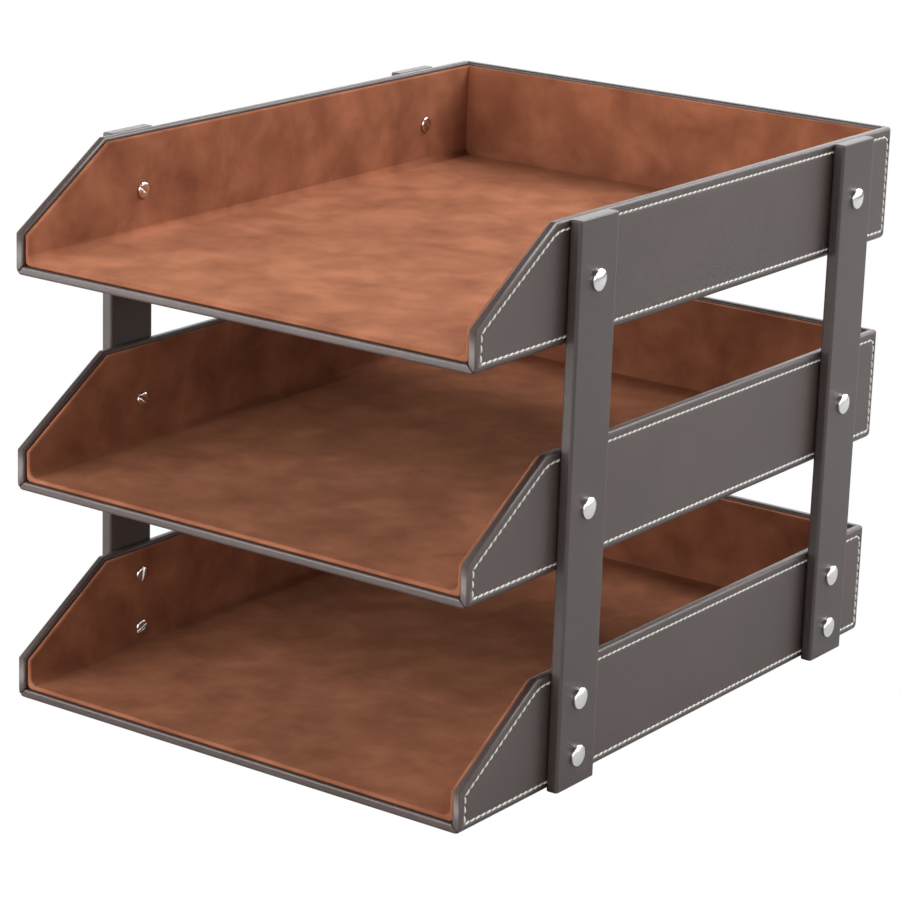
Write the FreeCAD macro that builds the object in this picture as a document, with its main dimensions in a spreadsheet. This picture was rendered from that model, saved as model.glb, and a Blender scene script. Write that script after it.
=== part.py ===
import FreeCAD, Part
import os
from math import atan2, degrees, pi, radians, sqrt

import Sketcher
from FreeCAD import Matrix, Rotation, Vector

# Three-tier letter tray: three leather-wrapped trays on four leather-wrapped posts.
# X runs across the trays, Y from the open front to the back, Z up. The origin is on the
# surface that the tray stands on, in the middle of its width and of its depth.

doc = FreeCAD.newDocument("letter_tray")

# Driving dimensions, in millimetres and degrees

DIMENSIONS = [
    ("tray_width", 250, "outside width of one tray"),
    ("tray_depth", 338, "outside depth of one tray"),
    ("side_height", 54, "height of the sides and the back"),
    ("front_height", 19, "height of a side at its front edge"),
    ("chamfer_run", 54.5, "length in depth of the slanted front corner"),
    ("tier_pitch", 99.5, "from the underside of one tray to that of the next"),
    ("board", 2.6, "thickness of the boards"),
    ("leather", 0.8, "thickness of the leather"),
    ("turn_in", 10, "width of the leather that is turned in over a free edge"),
    ("arris", 0.5, "bevel along a turned leather edge"),
    ("corner", 3, "radius of the lower and rear corners of a tray"),
    ("bevel", 1.3, "bevel that eases a board's outer corners under the leather"),
    ("lining", 3.0, "thickness of the suede-faced lining"),
    ("setback", 1.5, "from a leather edge to the edge of the lining"),
    ("lining_corner", 3.5, "inside radius where the lining turns up at the sides"),
    ("channel_inset", 4, "from a panel's edge to the middle of its stitching channel"),
    ("channel_width", 1.3, "width of the stitching channel"),
    ("channel_depth", 0.3, "depth of the stitching channel"),
    ("post_width", 29, "width of a post, in the tray's depth"),
    ("post_thick", 6, "thickness of a post"),
    ("post_corner", 1.5, "radius of a post's long edges"),
    ("front_post", 63.5, "from the trays' front to the front edge of a front post"),
    ("rear_post", 281, "from the trays' front to the front edge of a rear post"),
    ("screw_height", 27, "height of a screw over the underside of an upper tray"),
    ("low_screw", 14, "height of the lower screw on the bottom tray"),
    ("high_screw", 40.5, "height of the upper screw on the bottom tray"),
    ("hole", 5.2, "width of the holes for the nuts' barrels"),
    ("barrel", 5, "width of a cap nut's barrel"),
    ("bore", 3.6, "width of a barrel's bore and of a screw's shank"),
    ("barrel_short", 1, "from the end of a barrel to the face of the lining"),
    ("cap", 9.8, "diameter of a cap nut's head"),
    ("cap_top", 5.6, "diameter of the flat that stands for the middle of a cap's dome"),
    ("cap_rise", 2.3, "height of a cap"),
    ("head", 7.4, "diameter of a screw's head"),
    ("head_rise", 1.2, "thickness of a screw's head"),
    ("shank", 8, "length of a screw's shank"),
    ("slot_width", 1.2, "width of the slot in a screw's head"),
    ("slot_depth", 0.7, "depth of the slot in a screw's head"),
    ("slot_angle", 52, "angle of the slot in a screw's head"),
]

sheet = doc.addObject("Spreadsheet::Sheet", "dims")
for row, (alias, size, meaning) in enumerate(DIMENSIONS, start=1):
    sheet.set(f"A{row}", meaning)
    sheet.set(f"B{row}", str(size))
    sheet.setAlias(f"B{row}", alias)
doc.recompute()

# Sizes that several pieces share, as expressions in the sheet's dimensions

HALF_WIDTH = "dims.tray_width / 2"
HALF_DEPTH = "dims.tray_depth / 2"
WRAPPED = "(dims.board + 2 * dims.leather)"
BOARD_FACE = "(dims.board + dims.leather)"
LINING_FACE = "(dims.board + dims.leather + dims.lining)"
RISE = "(dims.side_height - dims.front_height)"
SLANT = f"sqrt({RISE}^2 + dims.chamfer_run^2)"
TOTAL_HEIGHT = "(2 * dims.tier_pitch + dims.side_height)"

TIERS = {"bottom": "0", "middle": "dims.tier_pitch", "top": "2 * dims.tier_pitch"}
SIDES = {"left": -1, "right": 1}
POSTS = {"front": "dims.front_post", "rear": "dims.rear_post"}
SCREWS_ON_POST = [
    "dims.low_screw",
    "dims.high_screw",
    "dims.tier_pitch + dims.screw_height",
    "2 * dims.tier_pitch + dims.screw_height",
]

subparts = []


def value(expression):
    return float(sheet.evalExpression(expression))


# Sketches and features


def new_body(name, lift="0"):
    body = doc.addObject("PartDesign::Body", name)
    body.Label = name
    body.setExpression("Placement.Base.z", lift)
    return body


def new_sketch(body, plane, shift=("0", "0", "0")):
    sketch = body.newObject("Sketcher::SketchObject", body.Name + "_sketch")
    support = next(item for item in body.Origin.OriginFeatures if item.Role == plane)
    sketch.AttachmentSupport = [(support, "")]
    sketch.MapMode = "FlatFace"
    for axis, amount in zip("xyz", shift):
        sketch.setExpression(f".AttachmentOffset.Base.{axis}", amount)
    return sketch


def bind(sketch, kind, name, expression, *where):
    """Add one driving constraint and bind it to an expression."""
    index = sketch.addConstraint(Sketcher.Constraint(kind, *where, value(expression)))
    sketch.renameConstraint(index, name)
    sketch.setExpression(f"Constraints.{name}", expression)


def arc_between(start, end, radius, clockwise):
    """The arc under a half circle from start to end; it runs counter-clockwise."""
    if clockwise:
        start, end = end, start
    chord = end - start
    rise = sqrt(radius**2 - (chord.Length / 2) ** 2)
    across = Vector(-chord.y, chord.x, 0).normalize()
    centre = (start + end) / 2 + across * rise
    first, last = (atan2(p.y - centre.y, p.x - centre.x) for p in (start, end))
    if last < first:
        last += 2 * pi
    return Part.ArcOfCircle(Part.Circle(centre, Vector(0, 0, 1), radius), first, last)


def add_loop(sketch, corners):
    """A closed outline. A corner is (x, y), or (x, y, radius, "cw" or "ccw") where an
    arc leaves it."""
    places = [Vector(value(corner[0]), value(corner[1]), 0) for corner in corners]
    first = sketch.GeometryCount
    count = len(corners)
    ends = []
    for number, corner in enumerate(corners):
        start, end = places[number], places[(number + 1) % count]
        if len(corner) == 2:
            sketch.addGeometry(Part.LineSegment(start, end))
            ends.append((1, 2))
            continue
        clockwise = corner[3] == "cw"
        sketch.addGeometry(arc_between(start, end, value(corner[2]), clockwise))
        ends.append((2, 1) if clockwise else (1, 2))
    for number, corner in enumerate(corners):
        edge, after = first + number, first + (number + 1) % count
        sketch.addConstraint(
            Sketcher.Constraint(
                "Coincident", edge, ends[number][1], after, ends[(number + 1) % count][0]
            )
        )
        begin = ends[number][0]
        bind(sketch, "DistanceX", f"x{edge}", corner[0], -1, 1, edge, begin)
        bind(sketch, "DistanceY", f"y{edge}", corner[1], -1, 1, edge, begin)
        if len(corner) > 2:
            bind(sketch, "Radius", f"r{edge}", corner[2], edge)


def add_circle(sketch, x, y, diameter):
    centre = Vector(value(x), value(y), 0)
    edge = sketch.addGeometry(Part.Circle(centre, Vector(0, 0, 1), value(diameter) / 2))
    bind(sketch, "DistanceX", f"x{edge}", x, -1, 1, edge, 3)
    bind(sketch, "DistanceY", f"y{edge}", y, -1, 1, edge, 3)
    bind(sketch, "Diameter", f"d{edge}", diameter, edge)


def add_hexagon(sketch, x, y, width):
    """A hexagon with two upright flats, a width apart."""
    corners = []
    for number in range(6):
        turn = 30 + 60 * number
        reach = f"{width} / sqrt(3)"
        corners.append((f"{x} + {reach} * cos({turn}deg)", f"{y} + {reach} * sin({turn}deg)"))
    add_loop(sketch, corners)


def rectangle(left, low, right, high):
    return [(left, low), (right, low), (right, high), (left, high)]


def pad(body, sketch, length, reverse=False, both_ways=False):
    feature = body.newObject("PartDesign::Pad", body.Name + "_pad")
    feature.Profile = sketch
    feature.setExpression("Length", length)
    feature.Reversed = reverse
    if both_ways:
        feature.SideType = "Symmetric"
    doc.recompute()
    return feature


def pocket(body, sketch, depth=None, reverse=False, both_ways=False):
    """Cut the sketch out of the body, to a depth or right through, and see that it cuts."""
    before = body.Shape.Volume
    feature = body.newObject("PartDesign::Pocket", body.Name + "_pocket")
    feature.Profile = sketch
    feature.Reversed = reverse
    if both_ways:
        feature.SideType = "Symmetric"
    if depth is None:
        feature.Type = "ThroughAll"
    else:
        feature.setExpression("Length", depth)
    doc.recompute()
    if body.Shape.Volume > before - 0.1:
        raise RuntimeError(f"{feature.Name} of {body.Label} cuts nothing")
    return feature


def lies_in(edge, **planes):
    """Whether an edge lies in every plane named, such as x=125."""
    box = edge.BoundBox
    limits = {"x": (box.XMin, box.XMax), "y": (box.YMin, box.YMax), "z": (box.ZMin, box.ZMax)}
    return all(
        abs(limit - place) < 1e-4 for axis, place in planes.items() for limit in limits[axis]
    )


def ease(body, kind, size, choose):
    """Round or bevel the edges that choose picks out; kind is Fillet or Chamfer."""
    base = body.Tip
    names = [f"Edge{n}" for n, edge in enumerate(base.Shape.Edges, start=1) if choose(edge)]
    feature = body.newObject(f"PartDesign::{kind}", f"{body.Name}_{kind.lower()}")
    feature.Base = (base, names)
    feature.setExpression("Radius" if kind == "Fillet" else "Size", size)
    doc.recompute()
    return feature


# The outline of a tray's side, seen from the side, drawn from its lower front corner


def side_outline(inset, bottom):
    """The side with its slanted front corner, drawn in by inset, down to bottom."""
    return [
        (inset, bottom),
        (inset, f"dims.front_height - {inset} * ({SLANT} - {RISE}) / dims.chamfer_run"),
        (
            f"dims.chamfer_run + {inset} * ({SLANT} - dims.chamfer_run) / {RISE}",
            f"dims.side_height - {inset}",
        ),
        (f"dims.tray_depth - {inset}", f"dims.side_height - {inset}"),
        (f"dims.tray_depth - {inset}", bottom),
    ]


def side_sketch(body, across):
    """A sketch that faces along X, at a distance across the tray, from the front."""
    return new_sketch(body, "YZ_Plane", (f"-{HALF_DEPTH}", "0", across))


def front_sketch(body, depth):
    """A sketch that faces along Y, at a distance behind the tray's front edge."""
    return new_sketch(body, "XZ_Plane", ("0", "0", f"{HALF_DEPTH} - ({depth})"))


def screw_holes(body, across, heights, places, reverse=False, both_ways=False):
    sketch = side_sketch(body, across)
    for place in places:
        for height in heights:
            add_hexagon(sketch, f"{place} + dims.post_width / 2", height, "dims.hole")
    pocket(body, sketch, reverse=reverse, both_ways=both_ways)


def tier_screws(tier):
    if tier == "bottom":
        return ["dims.low_screw", "dims.high_screw"]
    return ["dims.screw_height"]


# Boards. The sides stand outside the base and run its whole depth; the back stands on
# the base, between the sides. Their outer corners are bevelled, as leather turns there.


def bevel_outer_corners(body, outside):
    """Bevel a side board, or the room for it, at its lower, rear and lower rear corners."""
    face, low = value(outside), value("dims.leather")
    rear = value(f"{HALF_DEPTH} - dims.leather")
    ease(
        body,
        "Chamfer",
        "dims.bevel",
        lambda edge: lies_in(edge, x=face, z=low)
        or lies_in(edge, x=face, y=rear)
        or lies_in(edge, y=rear, z=low),
    )


def side_board(tier, side):
    hand = SIDES[side]
    body = new_body(f"{tier}_{side}_board", TIERS[tier])
    outside = f"{hand} * ({HALF_WIDTH} - dims.leather)"
    outline = side_sketch(body, outside)
    add_loop(outline, side_outline("dims.leather", "dims.leather"))
    pad(body, outline, "dims.board", reverse=hand > 0)
    bevel_outer_corners(body, outside)
    screw_holes(body, outside, tier_screws(tier), POSTS.values(), reverse=hand < 0)
    return body


def base_board(tier):
    body = new_body(f"{tier}_base_board", TIERS[tier])
    outline = new_sketch(body, "XY_Plane", ("0", "0", "dims.leather"))
    half = f"{HALF_WIDTH} - {BOARD_FACE}"
    front = f"-({HALF_DEPTH} - dims.leather)"
    add_loop(outline, rectangle(f"-({half})", front, half, f"{HALF_DEPTH} - dims.leather"))
    pad(body, outline, "dims.board")
    rear, low = value(f"{HALF_DEPTH} - dims.leather"), value("dims.leather")
    ease(body, "Chamfer", "dims.bevel", lambda edge: lies_in(edge, y=rear, z=low))
    return body


def back_board(tier):
    body = new_body(f"{tier}_back_board", TIERS[tier])
    outline = front_sketch(body, "dims.tray_depth - dims.leather")
    half = f"{HALF_WIDTH} - {BOARD_FACE}"
    top = "dims.side_height - dims.leather"
    add_loop(outline, rectangle(f"-({half})", BOARD_FACE, half, top))
    pad(body, outline, "dims.board")
    return body


# Leather. Each board is wrapped by itself: the leather lies on its outer face, goes over
# its free edges and is turned in under the lining. At the two front corners the side
# leather and the base leather meet in a mitre. A channel for the stitching runs round
# the outer face of each side and of the back, which leaves a raised border.


def side_cover(tier, side):
    hand = SIDES[side]
    inward, outward = hand > 0, hand < 0
    body = new_body(f"{tier}_{side}_cover", TIERS[tier])
    outside = f"{hand} * {HALF_WIDTH}"
    blank = side_sketch(body, outside)
    add_loop(blank, side_outline("0", "0"))
    pad(body, blank, WRAPPED, reverse=inward)

    window = side_sketch(body, f"{hand} * ({HALF_WIDTH} - {WRAPPED})")
    turned = side_outline("dims.turn_in", "0")
    lining_end = f"dims.tray_depth - {LINING_FACE}"
    under_top = "dims.side_height - dims.leather"
    add_loop(
        window,
        [
            ("dims.leather", "dims.leather"),
            ("dims.leather", BOARD_FACE),
            ("dims.turn_in", BOARD_FACE),
            turned[1],
            turned[2],
            (lining_end, "dims.side_height - dims.turn_in"),
            (lining_end, under_top),
            ("dims.tray_depth - dims.leather", under_top),
            ("dims.tray_depth - dims.leather", "dims.leather"),
        ],
    )
    pocket(body, window, "dims.leather", reverse=hand > 0)

    room = side_sketch(body, f"{hand} * ({HALF_WIDTH} - dims.leather)")
    add_loop(room, side_outline("dims.leather", "dims.leather"))
    pocket(body, room, "dims.board", reverse=outward)
    bevel_outer_corners(body, f"{hand} * ({HALF_WIDTH} - dims.leather)")

    face, inner = value(outside), value(f"{hand} * ({HALF_WIDTH} - {WRAPPED})")
    rear, top = value(HALF_DEPTH), value("dims.side_height")
    ease(
        body,
        "Fillet",
        "dims.corner",
        lambda edge: lies_in(edge, x=face, z=0)
        or lies_in(edge, x=face, y=rear)
        or lies_in(edge, y=rear, z=0),
    )

    def turned_edge(edge):
        """Where the leather turns over the front, the slanted corner and the top."""
        box = edge.BoundBox
        on_side = lies_in(edge, x=face) or lies_in(edge, x=inner)
        slanted = on_side and min(box.YLength, box.ZLength) > 5
        free = lies_in(edge, y=-rear) or lies_in(edge, z=top)
        rounded = box.XLength > 1 and max(box.YLength, box.ZLength) > 1
        return slanted or (free and (on_side or lies_in(edge, y=rear) or rounded))

    ease(body, "Chamfer", "dims.arris", turned_edge)

    mitre = front_sketch(body, "0")
    edge_in = f"{hand} * ({HALF_WIDTH} - {WRAPPED})"
    add_loop(mitre, [(outside, "0"), (edge_in, WRAPPED), (edge_in, "0")])
    pocket(body, mitre, "dims.leather")

    channel = side_sketch(body, outside)
    for edge in ("-", "+"):
        inset = f"(dims.channel_inset {edge} dims.channel_width / 2)"
        add_loop(channel, side_outline(inset, inset))
    pocket(body, channel, "dims.channel_depth", reverse=outward)

    screw_holes(body, outside, tier_screws(tier), POSTS.values(), reverse=outward)
    return body


def base_cover(tier):
    body = new_body(f"{tier}_base_cover", TIERS[tier])
    profile = side_sketch(body, "0")
    add_loop(
        profile,
        [
            ("0", "0"),
            (f"dims.tray_depth - {WRAPPED}", "0"),
            (f"dims.tray_depth - {WRAPPED}", "dims.leather"),
            ("dims.leather", "dims.leather"),
            ("dims.leather", BOARD_FACE),
            ("dims.turn_in", BOARD_FACE),
            ("dims.turn_in", WRAPPED),
            ("0", WRAPPED),
        ],
    )
    pad(body, profile, f"dims.tray_width - 2 * {WRAPPED}", both_ways=True)

    band = front_sketch(body, "0")
    flat = f"({HALF_WIDTH} - dims.corner)"
    meets = f"({flat} + dims.corner * sqrt(0.5))"
    height = "(dims.corner - dims.corner * sqrt(0.5))"
    inner = f"({HALF_WIDTH} - {WRAPPED})"
    add_loop(
        band,
        [
            (f"-{flat}", "0"),
            (flat, "0", "dims.corner", "ccw"),
            (meets, height),
            (inner, WRAPPED),
            (f"-{inner}", WRAPPED),
            (f"-{meets}", height, "dims.corner", "ccw"),
        ],
    )
    pad(body, band, "dims.leather", reverse=True)
    front, top = -value(HALF_DEPTH), value(WRAPPED)
    ease(
        body,
        "Chamfer",
        "dims.arris",
        lambda edge: lies_in(edge, y=front)
        and (lies_in(edge, z=0) or lies_in(edge, z=top) or edge.Curve.TypeId == "Part::GeomCircle"),
    )
    return body


def back_cover(tier):
    body = new_body(f"{tier}_back_cover", TIERS[tier])
    profile = side_sketch(body, "0")
    inner = f"dims.tray_depth - {WRAPPED}"
    bend = "dims.tray_depth - dims.corner"
    skin = "dims.tray_depth - dims.leather"
    turned = "dims.side_height - dims.turn_in"
    under_top = "dims.side_height - dims.leather"
    add_loop(
        profile,
        [
            (inner, "0"),
            (bend, "0", "dims.corner", "ccw"),
            ("dims.tray_depth", "dims.corner"),
            ("dims.tray_depth", "dims.side_height"),
            (inner, "dims.side_height"),
            (inner, turned),
            (f"dims.tray_depth - {BOARD_FACE}", turned),
            (f"dims.tray_depth - {BOARD_FACE}", under_top),
            (skin, under_top),
            (skin, "dims.leather + dims.bevel"),
            (f"{skin} - dims.bevel", "dims.leather"),
            (inner, "dims.leather"),
        ],
    )
    pad(body, profile, f"dims.tray_width - 2 * {WRAPPED}", both_ways=True)
    top, rear = value("dims.side_height"), value(HALF_DEPTH)
    inside = value(f"{HALF_DEPTH} - {WRAPPED}")
    ease(
        body,
        "Chamfer",
        "dims.arris",
        lambda edge: lies_in(edge, y=rear, z=top) or lies_in(edge, y=inside, z=top),
    )
    channel = front_sketch(body, "dims.tray_depth")
    for edge in ("-", "+"):
        inset = f"(dims.channel_inset {edge} dims.channel_width / 2)"
        half = f"({HALF_WIDTH} - {WRAPPED} - {inset})"
        add_loop(channel, rectangle(f"-{half}", inset, half, f"dims.side_height - {inset}"))
    pocket(body, channel, "dims.channel_depth", reverse=True)
    return body


# Lining. One suede-faced sheet covers the floor and turns up at both sides; a second
# covers the back. Both lie on the boards and press down over the turned-in leather.


def lining(tier):
    body = new_body(f"{tier}_lining", TIERS[tier])
    section = front_sketch(body, "dims.setback")
    outer = f"({HALF_WIDTH} - {BOARD_FACE})"
    inner = f"({HALF_WIDTH} - {LINING_FACE})"
    bend = f"({inner} - dims.lining_corner)"
    turn = f"{LINING_FACE} + dims.lining_corner"
    top = "dims.side_height - dims.setback"
    add_loop(
        section,
        [
            (f"-{outer}", BOARD_FACE),
            (outer, BOARD_FACE),
            (outer, top),
            (inner, top),
            (inner, turn, "dims.lining_corner", "cw"),
            (bend, LINING_FACE),
            (f"-{bend}", LINING_FACE, "dims.lining_corner", "cw"),
            (f"-{inner}", turn),
            (f"-{inner}", top),
            (f"-{outer}", top),
        ],
    )
    length = f"dims.tray_depth - dims.setback - {LINING_FACE}"
    pad(body, section, length, reverse=True)

    slant = side_sketch(body, "0")
    edge = side_outline("dims.setback", "0")
    above = [(edge[2][0], "dims.side_height"), ("0", "dims.side_height"), ("0", edge[1][1])]
    add_loop(slant, [edge[1], edge[2]] + above)
    pocket(body, slant, both_ways=True)

    turned = side_outline("dims.turn_in", "0")
    rear = f"dims.tray_depth - {LINING_FACE}"
    for hand in SIDES.values():
        seat = side_sketch(body, f"{hand} * {outer}")
        add_loop(
            seat,
            turned[:3]
            + [
                (rear, turned[2][1]),
                (rear, "dims.side_height"),
                ("0", "dims.side_height"),
                ("0", "0"),
            ],
        )
        pocket(body, seat, "dims.leather", reverse=hand < 0)
    front_seat = new_sketch(body, "XY_Plane", ("0", f"-{HALF_DEPTH}", BOARD_FACE))
    half = f"({HALF_WIDTH} - {WRAPPED})"
    add_loop(front_seat, rectangle(f"-{half}", "0", half, "dims.turn_in"))
    pocket(body, front_seat, "dims.leather", reverse=True)
    screw_holes(body, "0", tier_screws(tier), POSTS.values(), both_ways=True)
    return body


def back_lining(tier):
    body = new_body(f"{tier}_back_lining", TIERS[tier])
    panel = front_sketch(body, f"dims.tray_depth - {BOARD_FACE}")
    half = f"({HALF_WIDTH} - {BOARD_FACE})"
    top = "dims.side_height - dims.setback"
    add_loop(panel, rectangle(f"-{half}", BOARD_FACE, half, top))
    pad(body, panel, "dims.lining")
    seat = front_sketch(body, f"dims.tray_depth - {BOARD_FACE}")
    half = f"({HALF_WIDTH} - {WRAPPED})"
    turned = "dims.side_height - dims.turn_in"
    add_loop(seat, rectangle(f"-{half}", turned, half, "dims.side_height"))
    pocket(body, seat, "dims.leather", reverse=True)
    return body


# Posts. Each is a flat wooden bar wrapped in leather, and stands against the trays' sides
# from the underside of the bottom tray to the top edge of the top one.


def post_bounds(side, end, inset):
    """The four sides of a post's section seen from above, drawn in by inset all round."""
    hand, place = SIDES[side], POSTS[end]
    left, right = sorted(
        (
            f"{hand} * ({HALF_WIDTH} + {inset})",
            f"{hand} * ({HALF_WIDTH} + dims.post_thick - {inset})",
        ),
        key=value,
    )
    return left, f"({place} + {inset})", right, f"({place} + dims.post_width - {inset})"


def post_sketch(body, height):
    return new_sketch(body, "XY_Plane", ("0", f"-{HALF_DEPTH}", height))


def post_holes(body, side, end):
    outside = f"{SIDES[side]} * ({HALF_WIDTH} + dims.post_thick)"
    screw_holes(body, outside, SCREWS_ON_POST, [POSTS[end]], reverse=side == "left")


def post_core(side, end):
    body = new_body(f"{side}_{end}_post_core")
    section = post_sketch(body, "dims.leather")
    add_loop(section, rectangle(*post_bounds(side, end, "dims.leather")))
    pad(body, section, f"{TOTAL_HEIGHT} - 2 * dims.leather")
    post_holes(body, side, end)
    return body


def post_cover(side, end):
    body = new_body(f"{side}_{end}_post_cover")
    section = post_sketch(body, "0")
    left, near, right, far = post_bounds(side, end, "0")
    radius = "dims.post_corner"
    add_loop(
        section,
        [
            (f"{left} + {radius}", near),
            (f"{right} - {radius}", near, radius, "ccw"),
            (right, f"{near} + {radius}"),
            (right, f"{far} - {radius}", radius, "ccw"),
            (f"{right} - {radius}", far),
            (f"{left} + {radius}", far, radius, "ccw"),
            (left, f"{far} - {radius}"),
            (left, f"{near} + {radius}", radius, "ccw"),
        ],
    )
    pad(body, section, TOTAL_HEIGHT)
    room = post_sketch(body, "dims.leather")
    add_loop(room, rectangle(*post_bounds(side, end, "dims.leather")))
    pocket(body, room, f"{TOTAL_HEIGHT} - 2 * dims.leather", reverse=True)
    post_holes(body, side, end)
    return body


# Fasteners. A cap nut's barrel goes in from outside the post, a slotted screw goes into
# its bore from inside the tray. Both are drawn about the X axis with their heads towards
# +X, seated on the plane X = 0. Barrels, shanks and their holes have six flats.


def turned_head(body, outline):
    section = new_sketch(body, "XZ_Plane")
    add_loop(section, outline)
    feature = body.newObject("PartDesign::Revolution", body.Name + "_turn")
    feature.Profile = section
    feature.ReferenceAxis = (section, ["H_Axis"])
    feature.Angle = 360
    doc.recompute()


def cap_nut():
    body = new_body("cap_nut_pattern")
    turned_head(
        body,
        [
            ("0", "0"),
            ("dims.cap_rise", "0"),
            ("dims.cap_rise", "dims.cap_top / 2"),
            ("0", "dims.cap / 2"),
        ],
    )
    length = f"(dims.post_thick + {LINING_FACE} - dims.barrel_short)"
    barrel = new_sketch(body, "YZ_Plane")
    add_hexagon(barrel, "0", "0", "dims.barrel")
    pad(body, barrel, length, reverse=True)
    bore = new_sketch(body, "YZ_Plane", ("0", "0", "-dims.barrel_short"))
    add_hexagon(bore, "0", "0", "dims.bore")
    pocket(body, bore, length)
    return body


def slotted_screw():
    body = new_body("screw_pattern")
    head = new_sketch(body, "YZ_Plane")
    add_circle(head, "0", "0", "dims.head")
    pad(body, head, "dims.head_rise")
    shank = new_sketch(body, "YZ_Plane")
    add_hexagon(shank, "0", "0", "dims.bore")
    pad(body, shank, "dims.shank", reverse=True)
    slot = new_sketch(body, "YZ_Plane", ("0", "0", "dims.head_rise"))
    slot.setExpression(".AttachmentOffset.Rotation.Angle", "dims.slot_angle")
    half, reach = "dims.slot_width / 2", "dims.head"
    add_loop(slot, rectangle(f"-{reach}", f"-{half}", reach, half))
    pocket(body, slot, "dims.slot_depth")
    return body


def fastener_set(name, pattern, side, end, seat, facing, turns):
    """The four alike fasteners of one post, as separate solids in one sub-part."""
    along = value(f"{POSTS[end]} + dims.post_width / 2 - {HALF_DEPTH}")
    pieces = []
    for height, angle in zip(SCREWS_ON_POST, turns):
        piece = pattern.Shape.copy()
        spin = Rotation(Vector(1, 0, 0), angle)
        face = Rotation(Vector(0, 0, 1), 0 if facing > 0 else 180)
        place = Vector(value(seat), along, value(height))
        piece.Placement = FreeCAD.Placement(place, face.multiply(spin))
        pieces.append(piece)
    feature = doc.addObject("Part::Feature", name)
    feature.Label = name
    feature.Shape = Part.makeCompound(pieces)
    feature.Placement = FreeCAD.Placement()
    return feature


# Assembly

for tier in TIERS:
    subparts.append(base_board(tier))
    subparts.append(back_board(tier))
    for side in SIDES:
        subparts.append(side_board(tier, side))
        subparts.append(side_cover(tier, side))
    subparts.append(base_cover(tier))
    subparts.append(back_cover(tier))
    subparts.append(lining(tier))
    subparts.append(back_lining(tier))

nut, screw = cap_nut(), slotted_screw()
slot_turns = [60, 120, 0, 0]
for side, hand in SIDES.items():
    nut_seat = f"{hand} * ({HALF_WIDTH} + dims.post_thick)"
    screw_seat = f"{hand} * ({HALF_WIDTH} - {LINING_FACE})"
    for end in POSTS:
        subparts.append(post_core(side, end))
        subparts.append(post_cover(side, end))
        prefix = f"{side}_{end}_"
        subparts.append(
            fastener_set(prefix + "cap_nuts", nut, side, end, nut_seat, hand, [0] * 4)
        )
        subparts.append(
            fastener_set(prefix + "screws", screw, side, end, screw_seat, -hand, slot_turns)
        )

doc.recompute()

# Checks, then one file for each sub-part

for item in doc.Objects:
    if "Invalid" in item.State or "Error" in item.State:
        raise RuntimeError(f"{item.Label} is {item.State}")
for part in subparts:
    if part.Shape.isNull() or not part.Shape.isValid() or not part.Shape.Solids:
        raise RuntimeError(f"{part.Label} has no valid solid")

os.makedirs("parts", exist_ok=True)
for part in subparts:
    part.Shape.exportStep(f"parts/{part.Label}.step")
print(f"{len(subparts)} sub-parts written")
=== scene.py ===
from math import atan2, cos, pi, radians, sin

import bmesh
import bpy
from mathutils import Euler, Matrix, Vector


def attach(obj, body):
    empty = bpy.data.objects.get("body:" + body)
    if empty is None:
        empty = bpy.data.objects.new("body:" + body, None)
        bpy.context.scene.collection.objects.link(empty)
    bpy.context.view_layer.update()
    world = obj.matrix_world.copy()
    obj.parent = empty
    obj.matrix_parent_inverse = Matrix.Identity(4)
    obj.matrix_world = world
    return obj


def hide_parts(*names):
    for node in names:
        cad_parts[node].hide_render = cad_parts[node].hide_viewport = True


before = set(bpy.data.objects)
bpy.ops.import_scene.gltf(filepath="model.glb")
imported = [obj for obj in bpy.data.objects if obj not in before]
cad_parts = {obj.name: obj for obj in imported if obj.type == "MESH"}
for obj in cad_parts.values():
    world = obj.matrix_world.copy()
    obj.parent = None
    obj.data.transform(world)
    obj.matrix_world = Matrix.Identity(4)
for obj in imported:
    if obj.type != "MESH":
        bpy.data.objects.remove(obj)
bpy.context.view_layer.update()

# Three-tier letter tray. Shapes are drawn in millimetres from a tray's own front and
# underside: X across, Y from the front to the back, Z up. They are then lifted to their
# tier and turned to metres in the frame of the CAD model.

TIERS = ("bottom", "middle", "top")
SIDES = {"left": -1, "right": 1}


# Boards. Each tray is put together from four thin hardboards: a base, a back and two
# sides with a slanted front corner. They are glued, and leather and lining hide them.


def linear(colour):
    """An sRGB hex colour as the linear red, green, blue and alpha of a shader."""
    parts = [int(colour[start : start + 2], 16) / 255 for start in (1, 3, 5)]
    channels = [p / 12.92 if p <= 0.04045 else ((p + 0.055) / 1.055) ** 2.4 for p in parts]
    return channels + [1.0]


def add_node(tree, kind, sockets=None, **settings):
    """Add a shader node with its settings. A socket takes a value, or (node, output)."""
    made = tree.nodes.new("ShaderNode" + kind)
    for name, setting in settings.items():
        setattr(made, name, setting)
    for name, source in (sockets or {}).items():
        if isinstance(source, tuple) and isinstance(source[0], bpy.types.Node):
            tree.links.new(source[0].outputs[source[1]], made.inputs[name])
        else:
            made.inputs[name].default_value = source
    return made


def new_material(name):
    """An empty node material, its tree, and the object coordinates in metres."""
    material = bpy.data.materials.new(name)
    material.use_nodes = True
    material.node_tree.nodes.clear()
    tree = material.node_tree
    return material, tree, add_node(tree, "TexCoord")


def ramp(tree, factor, *stops):
    """A colour ramp with (place, hex colour) stops."""
    made = add_node(tree, "ValToRGB", {"Fac": factor})
    elements = made.color_ramp.elements
    while len(elements) < len(stops):
        elements.new(0.5)
    for element, (place, colour) in zip(elements, stops):
        element.position, element.color = place, linear(colour)
    return made


def noise(tree, vector, scale, detail, **sockets):
    """Noise with this many features in a metre."""
    sockets = {"Vector": vector, "Scale": scale, "Detail": detail, **sockets}
    return add_node(tree, "TexNoise", sockets)


def bump(tree, height, strength, depth):
    """Relief of this depth in metres."""
    sockets = {"Height": height, "Strength": strength, "Distance": depth}
    return add_node(tree, "Bump", sockets)


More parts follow.
